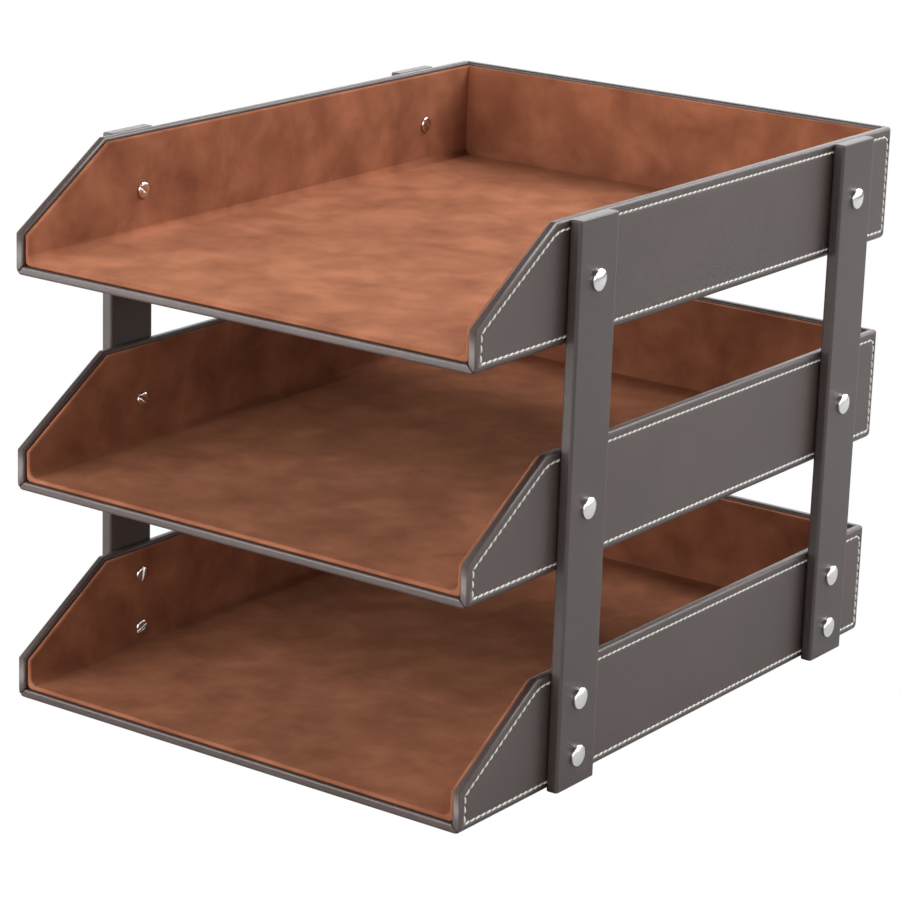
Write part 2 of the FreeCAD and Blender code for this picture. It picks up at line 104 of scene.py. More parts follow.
def finish_material(tree, sockets):
    """Give a material its surface shader."""
    bsdf = add_node(tree, "BsdfPrincipled", sockets)
    add_node(tree, "OutputMaterial", {"Surface": (bsdf, "BSDF")})


def hardboard():
    """Hardboard, a dense fibreboard: a matt dark brown face of pressed wood fibres."""
    material, tree, place = new_material("sawn_hardboard")
    fibre_length, fibre_relief = 0.0012, 0.0002
    fibres = noise(tree, (place, "Object"), 1 / fibre_length, 4.0, Roughness=0.7)
    shade = ramp(tree, (fibres, "Fac"), (0.3, "#4a3424"), (0.7, "#6a4d36"))
    relief = bump(tree, (fibres, "Fac"), 0.2, fibre_relief)
    finish_material(
        tree,
        {"Base Color": (shade, "Color"), "Normal": (relief, "Normal"), "Roughness": 0.85},
    )
    return material


def dress_node(node, material):
    """Give a carried-over CAD node its material."""
    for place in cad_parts[node].material_slots:
        place.material = material


board_finish = hardboard()
for tier in TIERS:
    for board in ("base", "back", "left", "right"):
        dress_node(f"{tier}_{board}_board", board_finish)


# Side covers. One piece of artificial leather is folded round each side board. It lies on
# the outer face, goes over the front, the slanted corner and the top, and is turned in
# under the lining. A pressed groove for the stitching leaves a raised bead at the edge.

MM = 0.001
tray_width, tray_depth = 250, 338
side_height, front_height, chamfer_run = 54, 19, 54.5
tier_pitch = 99.5
wrapped, leather, turn_in = 4.2, 0.8, 10
half_width, inner_half = tray_width / 2, tray_width / 2 - wrapped
corner, corner_steps = 3.0, 6
arris, arris_steps = 1.1, 3
seam_gap = 0.55
tolerance = 0.01
side_outline = [
    (0, 0),
    (0, front_height),
    (chamfer_run, side_height),
    (tray_depth, side_height),
    (tray_depth, 0),
]
# The groove's section: how far from the panel's edge, and how deep.
stitch_inset, soft_corner = 4.0, 4.2
groove_rings = [
    (3.1, 0.0),
    (3.4, -0.25),
    (stitch_inset, -0.5),
    (4.6, -0.3),
    (5.1, -0.16),
    (6.6, -0.08),
]


def lies_in(item, **planes):
    """Whether all vertices of an edge or face lie in these planes, in millimetres."""
    return all(
        abs(getattr(vert.co, axis) - at) < tolerance
        for vert in item.verts
        for axis, at in planes.items()
    )


def prism(mesh, corners, sweep):
    """A closed solid: a flat face on these corners, extruded along a vector."""
    start = mesh.faces.new([mesh.verts.new(place) for place in corners])
    made = bmesh.ops.extrude_face_region(mesh, geom=[start])["geom"]
    moved = [item for item in made if isinstance(item, bmesh.types.BMVert)]
    bmesh.ops.translate(mesh, vec=sweep, verts=moved)
    bmesh.ops.recalc_face_normals(mesh, faces=mesh.faces)


def round_off(mesh, parts, radius, segments, affect="EDGES"):
    """Round edges off, or with VERTICES the corners of a flat face."""
    bmesh.ops.bevel(
        mesh,
        geom=parts,
        offset=radius,
        offset_type="OFFSET",
        affect=affect,
        segments=segments,
        profile=0.5,
        material=-1,
        clamp_overlap=False,
    )


def largest(faces, normal):
    """The largest face that points along a vector."""
    facing = [face for face in faces if face.normal.dot(normal) > 0.99]
    return max(facing, key=lambda face: face.calc_area())


def press_groove(mesh, face, outline, soft_corners):
    """Swap a flat face for one with a stitching groove pressed in along its edge. Give
    back the corners of the line along the bottom of the groove."""
    normal = face.normal.copy()
    rim = list(face.edges)
    bmesh.ops.delete(mesh, geom=[face], context="FACES_ONLY")
    panel = mesh.faces.new([mesh.verts.new(place) for place in outline])
    panel.normal_update()
    if panel.normal.dot(normal) < 0:
        panel.normal_flip()
    first_inset = groove_rings[0][0]
    ring = bmesh.ops.inset_region(
        mesh, faces=[panel], thickness=first_inset, use_even_offset=True, use_boundary=True
    )["faces"]
    outer = {vert for part in ring for vert in part.verts} - set(panel.verts)
    bmesh.ops.delete(mesh, geom=list(outer), context="VERTS")
    near = 3 * first_inset
    softened = [
        vert
        for vert in panel.verts
        if any((vert.co - Vector(place)).length < near for place in soft_corners)
    ]
    round_off(mesh, softened, soft_corner, corner_steps, affect="VERTICES")
    panel = largest([part for part in mesh.faces if part.edges[0].is_boundary], normal)
    filled = bmesh.ops.triangle_fill(
        mesh, edges=rim + list(panel.edges), use_beauty=True, normal=normal
    )["geom"]
    border = [item for item in filled if isinstance(item, bmesh.types.BMFace)]
    mesh.normal_update()
    flipped = [part for part in border if part.normal.dot(normal) < 0]
    bmesh.ops.reverse_faces(mesh, faces=flipped)
    for (inset, depth), (last_inset, last_depth) in zip(groove_rings[1:], groove_rings):
        bmesh.ops.inset_region(
            mesh,
            faces=[panel],
            thickness=inset - last_inset,
            depth=depth - last_depth,
            use_even_offset=True,
        )
        if inset == stitch_inset:
            seam = [vert.co.copy() for vert in panel.verts]
    return seam


def cut(mesh, faces, point, normal):
    """Cut these faces along a plane and delete what lies on the plane's normal side."""
    parts = {}
    for face in faces:
        parts.update(dict.fromkeys((face, *face.edges, *face.verts)))
    made = bmesh.ops.bisect_plane(mesh, geom=list(parts), plane_co=point, plane_no=normal)
    point, normal = Vector(point), Vector(normal)
    gone = [
        item
        for item in made["geom"]
        if isinstance(item, bmesh.types.BMFace)
        and (item.calc_center_median() - point).dot(normal) > 0
    ]
    bmesh.ops.delete(mesh, geom=gone, context="FACES")


def front_faces(mesh):
    """The faces that end before the rounded front arris does."""
    limit = arris + tolerance
    return [face for face in mesh.faces if max(vert.co.y for vert in face.verts) < limit]


def make_piece(
    mesh, name, tier, material, node=None, thickness=0, mirrored=False
):
    """Turn a mesh in tray millimetres into a finished piece on its tier, in place of a CAD
    node. A thickness makes a sheet into a solid, inwards."""
    bmesh.ops.remove_doubles(mesh, verts=mesh.verts, dist=0.001)
    if mirrored:
        bmesh.ops.scale(mesh, vec=(-1, 1, 1), verts=mesh.verts)
        bmesh.ops.reverse_faces(mesh, faces=mesh.faces)
    lift = TIERS.index(tier) * tier_pitch if tier else 0
    bmesh.ops.translate(mesh, vec=(0, -tray_depth / 2, lift), verts=mesh.verts)
    bmesh.ops.scale(mesh, vec=(MM, MM, MM), verts=mesh.verts)
    data = bpy.data.meshes.new(name)
    mesh.to_mesh(data)
    mesh.free()
    data.materials.append(material)
    data.polygons.foreach_set("use_smooth", [True] * len(data.polygons))
    piece = bpy.data.objects.new(name, data)
    bpy.context.scene.collection.objects.link(piece)
    if thickness:
        wall = piece.modifiers.new("wall", "SOLIDIFY")
        wall.thickness = thickness * MM
        wall.offset = -1
    shading = piece.modifiers.new("shading", "WEIGHTED_NORMAL")
    shading.keep_sharp = True
    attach(piece, "root")
    if node:
        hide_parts(node)


def artificial_leather(name, dark, light, roughness):
    """Polyurethane artificial leather, embossed with a fine calf grain and lacquered: a
    dark skin with a soft satin gloss that breaks up in small pebbles."""
    material, tree, place = new_material(name)
    pebble, pebble_bend, pebble_relief = 0.0007, 0.0006, 0.00012
    clouds_per_metre, gloss_spread = 22.0, 0.05
    warp = noise(tree, (place, "Object"), 1 / (4 * pebble), 2.0)
    bent = add_node(
        tree,
        "VectorMath",
        {0: (warp, "Color"), 1: [pebble_bend] * 3, 2: (place, "Object")},
        operation="MULTIPLY_ADD",
    )
    grain = add_node(
        tree,
        "TexVoronoi",
        {"Vector": (bent, "Vector"), "Scale": 1 / pebble},
        feature="DISTANCE_TO_EDGE",
    )
    creases = add_node(
        tree,
        "MapRange",
        {"Value": (grain, "Distance"), "From Min": 0.0, "From Max": 0.25},
    )
    clouds = noise(tree, (place, "Object"), clouds_per_metre, 3.0)
    shade = ramp(tree, (clouds, "Fac"), (0.3, dark), (0.72, light))
    relief = bump(tree, (creases, "Result"), 0.6, pebble_relief)
    gloss = add_node(
        tree,
        "MapRange",
        {
            "Value": (clouds, "Fac"),
            "To Min": roughness - gloss_spread,
            "To Max": roughness + gloss_spread,
        },
    )
    finish_material(
        tree,
        {
            "Base Color": (shade, "Color"),
            "Roughness": (gloss, "Result"),
            "Normal": (relief, "Normal"),
            "IOR": 1.5,
            "Specular IOR Level": 0.5,
            "Coat Weight": 0.5,
            "Coat Roughness": 0.28,
        },
    )
    return material


tray_leather = artificial_leather("grained_artificial_leather", "#3b2c28", "#473732", 0.45)


def side_cover(tier, side):
    """Make the leather of one side, and give back the line of its stitches."""
    mesh = bmesh.new()
    blank = [(inner_half, y, z) for y, z in side_outline]
    prism(mesh, blank, (wrapped, 0, 0))
    lower_and_rear = [
        edge
        for edge in mesh.edges
        if lies_in(edge, x=half_width, z=0)
        or lies_in(edge, x=half_width, y=tray_depth)
        or lies_in(edge, y=tray_depth, z=0)
    ]
    round_off(mesh, lower_and_rear, corner, corner_steps)
    free = {
        face
        for face in mesh.faces
        if abs(face.normal.x) < 0.01 and (face.normal.z > 0.1 or face.normal.y < -0.1)
    }
    turned = [e for e in mesh.edges if sum(face in free for face in e.link_faces) == 1]
    round_off(mesh, turned, arris, arris_steps)

    outer = largest(mesh.faces, Vector((1, 0, 0)))
    face_outline = [(half_width, y, z) for y, z in side_outline]
    seam = press_groove(mesh, outer, face_outline, face_outline[2:4])
    inner = largest(mesh.faces, Vector((-1, 0, 0)))
    bmesh.ops.inset_region(
        mesh, faces=[inner], thickness=turn_in - arris, use_even_offset=True
    )
    hidden = [inner] + [
        face
        for face in mesh.faces
        if lies_in(face, x=inner_half)
        and face is not inner
        and any(lies_in(edge, z=0) or lies_in(edge, y=tray_depth) for edge in face.edges)
    ]
    bmesh.ops.delete(mesh, geom=hidden, context="FACES")
    cut(mesh, front_faces(mesh), (half_width + seam_gap, 0, 0), (-1, 0, -1))
    make_piece(
        mesh,
        f"{tier}_{side}_side_leather",
        tier,
        tray_leather,
        f"{tier}_{side}_cover",
        thickness=leather,
        mirrored=SIDES[side] < 0,
    )
    return seam


# The stitches run the same way on every side, so any cover's line does for all.
for tier in TIERS:
    for side in SIDES:
        side_seam = side_cover(tier, side)


# Base covers. A sheet of the same leather lies under each base board, goes over its front
# edge and is turned in under the lining. Its ends meet the side leather in a mitre.


def is_end(edge):
    """Whether an edge lies in the left or the right end of a tray."""
    return lies_in(edge, x=-half_width) or lies_in(edge, x=half_width)


def base_cover(tier):
    """Make the leather under one tray, open at the ends and behind."""
    mesh = bmesh.new()
    rear = tray_depth - wrapped
    section = [(0, 0), (0, wrapped), (rear, wrapped), (rear, 0)]
    prism(mesh, [(-half_width, y, z) for y, z in section], (tray_width, 0, 0))
    ends = [e for e in mesh.edges if lies_in(e, z=0) and is_end(e)]
    round_off(mesh, ends, corner, corner_steps)
    front_edges = [
        edge
        for edge in mesh.edges
        if sum(face.normal.y < -0.99 for face in edge.link_faces) == 1
        and not is_end(edge)
    ]
    round_off(mesh, front_edges, arris, arris_steps)
    clearance = 0.02
    for hand in (-1, 1):
        ahead = set(front_faces(mesh))
        behind = [face for face in mesh.faces if face not in ahead]
        cut(mesh, behind, (hand * (inner_half - clearance), 0, 0), (hand, 0, 0))
        cut(mesh, front_faces(mesh), (hand * (half_width - seam_gap), 0, 0), (hand, 0, 1))
    top = [f for f in mesh.faces if lies_in(f, z=wrapped)]
    cut(mesh, top, (0, turn_in, 0), (0, 1, 0))
    gone = [f for f in mesh.faces if f.normal.y > 0.9]
    bmesh.ops.delete(mesh, geom=gone, context="FACES")
    make_piece(
        mesh,
        f"{tier}_base_leather",
        tier,
        tray_leather,
        f"{tier}_base_cover",
        thickness=leather,
    )


for tier in TIERS:
    base_cover(tier)


# Back covers. The back board is wrapped by itself, like the sides: the leather goes from
# under the tray up its outer face, over the top and down inside, and is stitched round.


def edges_along(mesh, axis, **planes):
    """The edges along one axis that lie in these planes."""
    return [
        edge
        for edge in mesh.edges
        if lies_in(edge, **planes)
        and abs(getattr(edge.verts[0].co - edge.verts[1].co, axis)) > 1
    ]


def back_cover(tier):
    """Make the leather of one back, and give back the line of its stitches."""
    mesh = bmesh.new()
    front, side = tray_depth - wrapped, inner_half
    section = [(front, 0), (front, side_height), (tray_depth, side_height), (tray_depth, 0)]
    prism(mesh, [(-side, y, z) for y, z in section], (2 * side, 0, 0))
    round_off(mesh, edges_along(mesh, "x", y=tray_depth, z=0), corner, corner_steps)
    round_off(mesh, edges_along(mesh, "x", z=side_height), arris, arris_steps)
    outer = largest(mesh.faces, Vector((0, 1, 0)))
    outline = [(-side, tray_depth, 0), (-side, tray_depth, side_height)]
    outline += [(side, tray_depth, side_height), (side, tray_depth, 0)]
    seam = press_groove(mesh, outer, outline, outline[1:3])
    inside = [f for f in mesh.faces if lies_in(f, y=front)]
    cut(mesh, inside, (0, 0, side_height - turn_in), (0, 0, -1))
    gone = [f for f in mesh.faces if abs(f.normal.x) > 0.9]
    bmesh.ops.delete(mesh, geom=gone, context="FACES")
    make_piece(
        mesh,
        f"{tier}_back_leather",
        tier,
        tray_leather,
        f"{tier}_back_cover",
        thickness=leather,
    )
    return seam


for tier in TIERS:
    back_seam = back_cover(tier)


# Linings. A stiff sheet faced with microfibre suede lies on each floor and turns up at
# both sides in one piece. A second one covers the back. Both are glued down and end a
# little short of the leather edge, which leaves a dark crease.

lining_face, setback = 6.4, 1.5
lining_corner, outer_bend, bend_steps = 3.5, 2.4, 4
lining_arris = 1.0


def trim(mesh, point, normal):
    """Cut a closed solid along a plane, and close it again."""
    parts = list(mesh.verts) + list(mesh.edges) + list(mesh.faces)
    made = bmesh.ops.bisect_plane(
        mesh, geom=parts, plane_co=point, plane_no=normal, clear_outer=True
    )
    rim = [item for item in made["geom_cut"] if isinstance(item, bmesh.types.BMEdge)]
    bmesh.ops.edgeloop_fill(mesh, edges=rim)
    bmesh.ops.recalc_face_normals(mesh, faces=mesh.faces)


def microfibre_suede():
    """Microfibre suede, brushed: a matt rust-brown nap whose short fibres lie this way and
    that, in soft lighter and darker patches, and light up at a shallow angle."""
    material, tree, place = new_material("brushed_microfibre_suede")
    patch, fibre, nap_relief = 0.024, 0.0006, 0.0002
    nap_share = 0.25
    strokes = noise(
        tree, (place, "Object"), 1 / patch, 3.0, Roughness=0.55, Distortion=0.25
    )
    nap = noise(tree, (place, "Object"), 1 / fibre, 3.0, Roughness=0.7)
    mixed = add_node(
        tree,
        "Math",
        {0: (nap, "Fac"), 1: nap_share, 2: (strokes, "Fac")},
        operation="MULTIPLY_ADD",
    )
    shade = ramp(
        tree, (mixed, "Value"), (0.34, "#774531"), (0.6, "#915a41"), (0.86, "#aa6d51")
    )
    relief = bump(tree, (nap, "Fac"), 0.4, nap_relief)
    finish_material(
        tree,
        {
            "Base Color": (shade, "Color"),
            "Roughness": 0.95,
            "Normal": (relief, "Normal"),
            "Specular IOR Level": 0.15,
            "Sheen Weight": 0.35,
            "Sheen Roughness": 0.4,
            "Sheen Tint": linear("#d89870"),
        },
    )
    return material


suede = microfibre_suede()


def lining(tier):
    """Line one tray's floor and sides in one piece."""
    mesh = bmesh.new()
    face, back = half_width - lining_face, half_width - wrapped
    top, rear = side_height - setback, tray_depth - lining_face
    section = [(-back, top), (-back, wrapped), (back, wrapped), (back, top)]
    section += [(face, top), (face, lining_face), (-face, lining_face), (-face, top)]
    prism(mesh, [(x, setback, z) for x, z in section], (0, rear - setback, 0))
    round_off(mesh, edges_along(mesh, "y", z=lining_face), lining_corner, corner_steps)
    round_off(mesh, edges_along(mesh, "y", z=wrapped), outer_bend, bend_steps)
    rise, run = side_height - front_height, chamfer_run
    slant = Vector((0, -rise, run)).normalized()
    trim(mesh, Vector((0, 0, front_height)) - setback * slant, slant)
    free = {
        face
        for face in mesh.faces
        if face.normal.y < -0.1 or (face.normal.z > 0.9 and lies_in(face, z=top))
    }
    visible = [e for e in mesh.edges if sum(face in free for face in e.link_faces) == 1]
    round_off(mesh, visible, lining_arris, arris_steps)
    make_piece(
        mesh,
        f"{tier}_suede_lining",
        tier,
        suede,
        f"{tier}_lining",
    )


def back_lining(tier):
    """Line one tray's back."""
    mesh = bmesh.new()
    side, top = half_width - wrapped, side_height - setback
    front, rear = tray_depth - lining_face, tray_depth - wrapped
    section = [(front, wrapped), (front, top), (rear, top), (rear, wrapped)]
    prism(mesh, [(-side, y, z) for y, z in section], (2 * side, 0, 0))
    round_off(mesh, edges_along(mesh, "x", z=top), lining_arris, arris_steps)
    make_piece(
        mesh,
        f"{tier}_suede_back",
        tier,
        suede,
        f"{tier}_back_lining",
    )


for tier in TIERS:
    lining(tier)
    back_lining(tier)


# Posts. Four flat wooden bars carry the trays. Each is wrapped all round in the same
# leather as the trays, with its seam against the trays, and stands on its cut end. On the
# posts that leather is given darker
# colours: painted shade.

post_width, post_thick = 29, 6
post_corner, post_corner_steps = 1.5, 4
post_rim, post_rim_steps = 0.7, 2
total_height = 2 * tier_pitch + side_height
POSTS = {"front": 63.5, "rear": 281}


def planed_softwood():
    """Planed softwood: pale yellow-brown with the growth rings as long streaks."""
    material, tree, place = new_material("planed_softwood")
    rings_per_metre, streak = 350.0, (1.0, 1.0, 0.06)
    stretched = add_node(tree, "Mapping", {"Vector": (place, "Object"), "Scale": streak})
    rings = noise(tree, (stretched, "Vector"), rings_per_metre, 3.0)
    shade = ramp(tree, (rings, "Fac"), (0.35, "#a37c50"), (0.65, "#cba777"))
    finish_material(tree, {"Base Color": (shade, "Color"), "Roughness": 0.7})
    return material


core_finish = planed_softwood()
# The posts' copy of the tray leather, with darker colours than the trays' copy: painted
# shade.
post_leather_painted_shade = artificial_leather("post_artificial_leather_painted_shade", "#352925", "#3f322e", 0.45)


def post_cover(side, place):
    """Wrap one post in leather."""
    mesh = bmesh.new()
    near = POSTS[place]
    far = near + post_width
    inside, outside = half_width, half_width + post_thick
    foot = [(inside, near, 0), (outside, near, 0), (outside, far, 0), (inside, far, 0)]
    prism(mesh, foot, (0, 0, total_height))
    round_off(mesh, edges_along(mesh, "z"), post_corner, post_corner_steps)
    rims = [
        edge
        for edge in mesh.edges
        if sum(abs(face.normal.z) > 0.99 for face in edge.link_faces) == 1
    ]
    round_off(mesh, rims, post_rim, post_rim_steps)
    make_piece(
        mesh,
        f"{side}_{place}_post_leather",
        None,
        post_leather_painted_shade,
        f"{side}_{place}_post_cover",
        mirrored=SIDES[side] < 0,
    )


for side in SIDES:
    for place in POSTS:
        dress_node(f"{side}_{place}_post_core", core_finish)
        post_cover(side, place)


# Cap nuts. Turned steel with a domed head and a bored barrel, polished and chrome-plated.
# Each goes through a post and a tray side, from outside.

low_screw, high_screw, upper_screw = 14, 40.5, 27
screw_heights = [low_screw, high_screw]
screw_heights += [level * tier_pitch + upper_screw for level in (1, 2)]
cap_radius, cap_rim, cap_rise = 4.9, 1.35, 2.3
rim_inset, rim_drop, foot_inset, foot_rise = 0.3, 0.2, 0.2, 0.15
barrel_radius, barrel_short = 2.5, 1
bore_radius, bore_end = 1.8, 2
dome_steps, turning_steps = 8, 32


def chrome_plate():
    """Chrome-plated steel, polished: a bright mirror with a slightly cool tone and faint
    handling marks that dull it here and there."""
    material, tree, place = new_material("polished_chrome_plate")
    marks_per_metre, smoothest, dullest = 900.0, 0.1, 0.24
    marks = noise(tree, (place, "Object"), marks_per_metre, 3.0)
    gloss = add_node(
        tree, "MapRange", {"Value": (marks, "Fac"), "To Min": smoothest, "To Max": dullest}
    )
    finish_material(
        tree,
        {"Base Color": linear("#eeecec"), "Metallic": 1.0, "Roughness": (gloss, "Result")},
    )
    return material


chrome = chrome_plate()


def spin_profile(mesh, profile, steps):
    """Spin a profile of (place along X, radius) into a closed turned shape."""
    verts = [mesh.verts.new((along, 0, radius)) for along, radius in profile]
    edges = [mesh.edges.new(pair) for pair in zip(verts, verts[1:])]
    bmesh.ops.spin(
        mesh,
        geom=verts + edges,
        cent=(0, 0, 0),
        axis=(1, 0, 0),
        angle=2 * pi,
        steps=steps,
        use_merge=True,
    )
    bmesh.ops.remove_doubles(mesh, verts=mesh.verts, dist=0.0005)
    bmesh.ops.recalc_face_normals(mesh, faces=mesh.faces)


def add_shape(mesh, shape, centre, hand):
    """Add a shape to a mesh, mirrored for the left side, and free it."""
    if hand < 0:
        bmesh.ops.scale(shape, vec=(-1, 1, 1), verts=shape.verts)
        bmesh.ops.reverse_faces(shape, faces=shape.faces)
    bmesh.ops.translate(shape, vec=centre, verts=shape.verts)
    data = bpy.data.meshes.new("shape")
    shape.to_mesh(data)
    shape.free()
    mesh.from_mesh(data)
    bpy.data.meshes.remove(data)


def cap_profile():
    """The head's dome and rounded rim, then the barrel and its bore."""
    dome_radius, dome_rise = cap_radius - rim_inset, cap_rise - cap_rim
    sphere = (dome_radius**2 + dome_rise**2) / (2 * dome_rise)
    widest = atan2(dome_radius, sphere - dome_rise)
    angles = [widest * step / dome_steps for step in range(dome_steps + 1)]
    profile = [
        (cap_rise - sphere + sphere * cos(angle), sphere * sin(angle)) for angle in angles
    ]
    profile += [(cap_rim - rim_drop, cap_radius), (foot_rise, cap_radius)]
    profile += [(0, cap_radius - foot_inset), (0, barrel_radius)]
    length = post_thick + lining_face - barrel_short
    profile += [(-length, barrel_radius), (-length, bore_radius)]
    profile += [(-bore_end, bore_radius), (-bore_end, 0)]
    return profile


def cap_nuts(side, place):
    """Set the four cap nuts of one post."""
    mesh = bmesh.new()
    for height in screw_heights:
        centre = (
            SIDES[side] * (half_width + post_thick),
            POSTS[place] + post_width / 2,
            height,
        )
        nut = bmesh.new()
        spin_profile(nut, cap_profile(), turning_steps)
        add_shape(mesh, nut, centre, SIDES[side])
    make_piece(
        mesh,
        f"{side}_{place}_chrome_cap_nuts",
        None,
        chrome,
        f"{side}_{place}_cap_nuts",
    )


for side in SIDES:
    for place in POSTS:
        cap_nuts(side, place)


# Screws. Slotted raised-head screws of the same plated steel go into the barrels from
# inside the trays, and their heads lie on the lining.

head_radius, head_rise = 3.7, 1.2
slot_width, slot_depth = 1.2, 0.7
shank_length, screw_steps = 8, 24
# How far each screw happens to be turned, in degrees from the lowest one up.
slot_turns = (112, 172, 52, 52)


def slotted_screw(turn):
    """One screw along X, its head at the origin towards -X, as a mesh."""
    mesh = bmesh.new()
    floor_of_slot = -(head_rise - slot_depth)
    crown = [(1, 0), (1, 0.45), (0.92, 0.75), (0.75, 0.93)]
    profile = [(-head_rise * rise, head_radius * radius) for rise, radius in crown]
    profile += [(floor_of_slot, head_radius), (0, head_radius), (0, bore_radius)]
    profile += [(shank_length, bore_radius), (shank_length, 0)]
    spin_profile(mesh, profile, screw_steps)
    for side in (-1, 1):
        parts = list(mesh.verts) + list(mesh.edges) + list(mesh.faces)
        bmesh.ops.bisect_plane(
            mesh, geom=parts, plane_co=(0, side * slot_width / 2, 0), plane_no=(0, side, 0)
        )
    centres = {face: face.calc_center_median() for face in mesh.faces}
    slot = [
        face
        for face, centre in centres.items()
        if abs(centre.y) < slot_width / 2 and centre.x < floor_of_slot
    ]
    sunk = bmesh.ops.extrude_face_region(mesh, geom=slot)["geom"]
    bmesh.ops.delete(mesh, geom=[f for f in slot if f.is_valid], context="FACES")
    for vert in sunk:
        if isinstance(vert, bmesh.types.BMVert):
            vert.co.x = floor_of_slot
    bmesh.ops.remove_doubles(mesh, verts=mesh.verts, dist=0.001)
    bmesh.ops.recalc_face_normals(mesh, faces=mesh.faces)
    turned = Matrix.Rotation(radians(turn), 3, "X")
    bmesh.ops.rotate(mesh, verts=mesh.verts, cent=(0, 0, 0), matrix=turned)
    return mesh


def screws(side, place):
    """Set the four screws of one post."""
    mesh = bmesh.new()
    hand = SIDES[side]
    for height, turn in zip(screw_heights, slot_turns):
        screw = slotted_screw(turn)
        centre = (hand * (half_width - lining_face), POSTS[place] + post_width / 2, height)
        add_shape(mesh, screw, centre, hand)
    make_piece(
        mesh,
        f"{side}_{place}_slotted_screws",
        None,
        chrome,
        f"{side}_{place}_screws",
    )


for side in SIDES:
    for place in POSTS:
        screws(side, place)


# Stitching. White spun thread runs round every side and back panel in its groove. Each
# stitch is a short slanted length that dips into the leather at both ends.

stitch_pitch, stitch_length, stitch_radius = 3.9, 3.85, 0.48
stitch_rise, stitch_dip, stitch_slant = 0.22, 0.28, 10
sharp_turn = 35


def spun_thread():
    """Spun polyester thread, twisted: matt off-white with a fine diagonal twist."""
    material, tree, place = new_material("white_spun_thread")
    fibres_per_metre, fibre_relief = 2500.0, 0.0001
    twist = noise(tree, (place, "Object"), fibres_per_metre, 2.0)
    shade = ramp(tree, (twist, "Fac"), (0.3, "#f2efe8"), (0.6, "#fdfcf8"))
    relief = bump(tree, (twist, "Fac"), 0.4, fibre_relief)
    finish_material(
        tree,
        {"Base Color": (shade, "Color"), "Normal": (relief, "Normal"), "Roughness": 0.8},
    )
    return material


thread = spun_thread()


def thread_stitch():
    """One stitch along X: a short rounded length of thread that dips at both ends."""
    mesh = bmesh.new()
    bmesh.ops.create_uvsphere(
        mesh,
        u_segments=8,
        v_segments=6,
        radius=1.0,
        matrix=Matrix.Rotation(pi / 2, 4, "Y"),
    )
    for vert in mesh.verts:
        x, y, z = vert.co
        dip = stitch_dip * x**2
        vert.co = (x * stitch_length / 2, y * stitch_radius, z * stitch_radius - dip)
    data = bpy.data.meshes.new("thread_stitch")
    mesh.to_mesh(data)
    mesh.free()
    return data


stitch_shape = thread_stitch()


def one_stitch(mesh, middle, along, outward):
    """Set one stitch into a mesh, pointing along the seam and facing outwards."""
    across = outward.cross(along)
    placed = Matrix((along, across, outward)).transposed().to_4x4()
    placed.translation = middle
    copy = stitch_shape.copy()
    copy.transform(placed)
    mesh.from_mesh(copy)
    bpy.data.meshes.remove(copy)


def runs_between_corners(seam):
    """Split a closed seam line at its sharp corners."""
    count = len(seam)
    steps = [seam[index] - seam[index - 1] for index in range(count)]
    turns = [
        index
        for index in range(count)
        if steps[index].angle(steps[(index + 1) % count]) > radians(sharp_turn)
    ]
    return [
        [seam[(start + step) % count] for step in range((end - start - 1) % count + 2)]
        for start, end in zip(turns, turns[1:] + turns[:1])
    ]


def point_along(run, distance):
    """The place at a distance along a line of straight pieces."""
    for start, end in zip(run, run[1:]):
        length = (end - start).length
        if distance <= length or end is run[-1]:
            return start.lerp(end, distance / length)
        distance -= length


def stitching(name, tier, seam, outward, mirrored=False):
    """Sew along a seam line: whole stitches, evenly spaced from corner to corner."""
    mesh = bmesh.new()
    slant = Matrix.Rotation(radians(stitch_slant), 3, outward)
    reach = 0.3 * stitch_pitch
    for run in runs_between_corners(seam):
        total = sum((end - start).length for start, end in zip(run, run[1:]))
        count = round(total / stitch_pitch)
        for index in range(count):
            middle = total * (index + 0.5) / count
            tail, tip = point_along(run, middle - reach), point_along(run, middle + reach)
            along = (slant @ (tip - tail)).normalized()
            one_stitch(mesh, (tail + tip) / 2 + stitch_rise * outward, along, outward)
    make_piece(mesh, name, tier, thread, mirrored=mirrored)


for tier in TIERS:
    for side, hand in SIDES.items():
        name = f"{tier}_{side}_stitching"
        stitching(name, tier, side_seam, Vector((1, 0, 0)), mirrored=hand < 0)
    stitching(f"{tier}_back_stitching", tier, back_seam, Vector((0, 1, 0)))


# Studio. A plain floor and surroundings, bright at the horizon and dark overhead. Soft
# lamps stand low at the front left, weaker at the front, and high at the rear right. The
# camera has the photograph's angle.


def studio_floor():
    """Matt studio paper: light grey where it gives light back to the tray, and an even
    white to the camera."""
    material, tree, _ = new_material("white_studio_paper")
    path = add_node(tree, "LightPath")
    paper = add_node(
        tree,
        "Mix",
        {"Factor": (path, "Is Camera Ray"), 6: linear("#c4c4c4"), 7: linear("#000000")},
        data_type="RGBA",
    )
    finish_material(
        tree,
        {
            "Base Color": (paper, 2),
            "Roughness": 0.9,
            "Specular IOR Level": 0.0,
            "Emission Color": linear("#ffffff"),
            "Emission Strength": (path, "Is Camera Ray"),
        },
    )
    return material


floor_reach = 6.0
floor_mesh = bmesh.new()
bmesh.ops.create_grid(floor_mesh, x_segments=1, y_segments=1, size=floor_reach)
floor_data = bpy.data.meshes.new("studio_floor")
floor_mesh.to_mesh(floor_data)
floor_mesh.free()
floor_data.materials.append(studio_floor())
floor = bpy.data.objects.new("studio_floor", floor_data)
bpy.context.scene.collection.objects.link(floor)


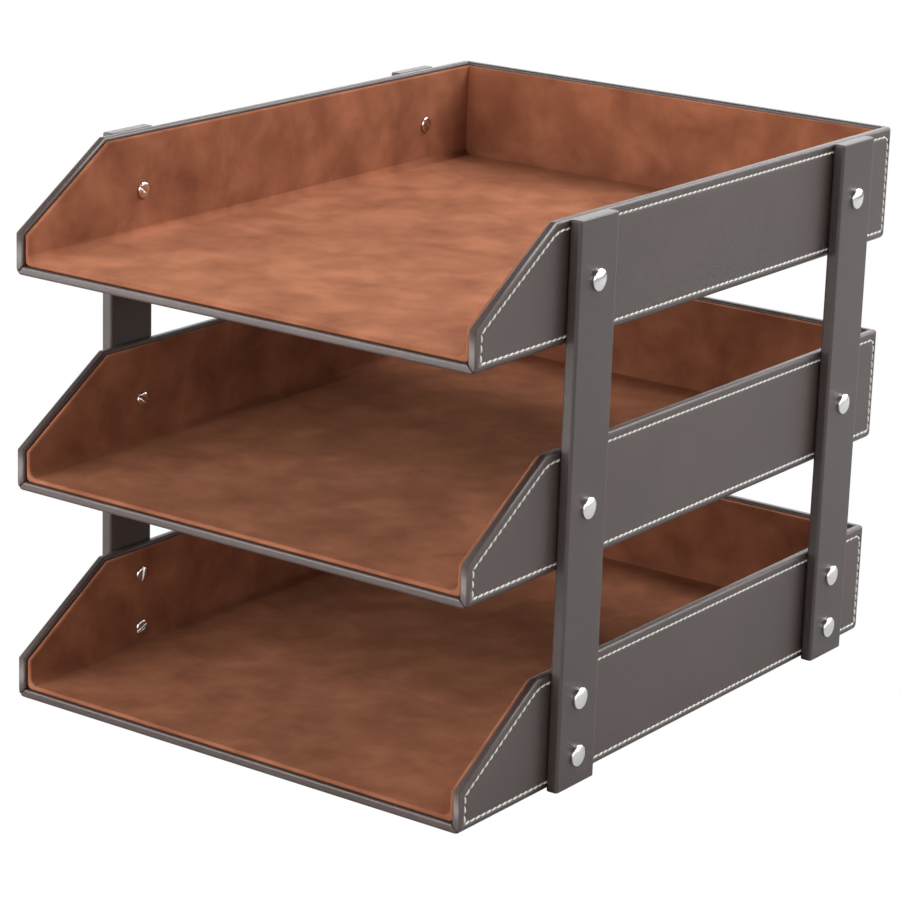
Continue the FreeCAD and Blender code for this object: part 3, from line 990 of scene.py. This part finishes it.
def surroundings():
    """White all round for the camera. For the light, a white horizon that fades into a dark
    ceiling, stronger in reflections than in the soft light."""
    world = bpy.data.worlds.new("studio")
    world.use_nodes = True
    tree = world.node_tree
    tree.nodes.clear()
    soft_strength, mirror_strength = 0.88, 2.6
    fade_start, fade_end, overhead = 0.18, 0.55, 0.04
    rays = add_node(tree, "LightPath")
    toward = add_node(tree, "TexCoord")
    height = add_node(tree, "SeparateXYZ", {"Vector": (toward, "Generated")})
    fade = add_node(
        tree,
        "MapRange",
        {
            "Value": (height, "Z"),
            "From Min": fade_start,
            "From Max": fade_end,
            "To Min": 1.0,
            "To Max": overhead,
        },
    )
    horizon = add_node(
        tree,
        "MapRange",
        {
            "Value": (rays, "Is Glossy Ray"),
            "To Min": soft_strength,
            "To Max": mirror_strength,
        },
    )
    around = add_node(
        tree,
        "Math",
        {0: (fade, "Result"), 1: (horizon, "Result")},
        operation="MULTIPLY",
    )
    strength = add_node(
        tree,
        "Math",
        {0: (around, "Value"), 1: (rays, "Is Camera Ray")},
        operation="MAXIMUM",
    )
    white = linear("#ffffff")
    sky = add_node(tree, "Background", {"Color": white, "Strength": (strength, "Value")})
    add_node(tree, "OutputWorld", {"Surface": (sky, "Background")})
    return world


bpy.context.scene.world = surroundings()
lamp_aim = Vector((0, 0, 0.12))


def add_lamp(name, azimuth, elevation, distance, size, power):
    """A square soft lamp that points at the middle of the tray."""
    lamp = bpy.data.lights.new(name, "AREA")
    lamp.size, lamp.energy = size, power
    made = bpy.data.objects.new(name, lamp)
    aim = Euler((pi / 2 - radians(elevation), 0, radians(azimuth))).to_matrix()
    made.matrix_world = aim.to_4x4()
    made.location = lamp_aim + aim @ Vector((0, 0, distance))
    bpy.context.scene.collection.objects.link(made)


add_lamp("front_lamp", azimuth=-30, elevation=13, distance=1.1, size=0.95, power=11)
add_lamp("fill_lamp", azimuth=5, elevation=24, distance=1.6, size=1.0, power=7.5)
add_lamp("rear_lamp", azimuth=152, elevation=52, distance=1.8, size=1.2, power=40)

# The camera was fitted to the edges of the trays and posts in the photograph.
picture_pixels, focal_pixels = 900, 3317.25
azimuth, elevation, roll = radians(35.482), radians(16.642), radians(1.891)
aim_across, aim_from_front, aim_height, distance = -3.75, 165, 105.464, 1554.516
camera_data = bpy.data.cameras.new("camera")
camera_data.sensor_width = 36.0
camera_data.lens = focal_pixels / picture_pixels * camera_data.sensor_width
camera = bpy.data.objects.new("camera", camera_data)
target = Vector((aim_across, aim_from_front - tray_depth / 2, aim_height)) * MM
turn = Euler((pi / 2 - elevation, 0, azimuth)).to_matrix().to_4x4()
place = target + turn.to_3x3() @ Vector((0, 0, distance * MM))
camera.matrix_world = Matrix.Translation(place) @ turn @ Matrix.Rotation(roll, 4, "Z")
bpy.context.scene.collection.objects.link(camera)
bpy.context.scene.camera = camera
bpy.context.scene.view_settings.view_transform = "Standard"
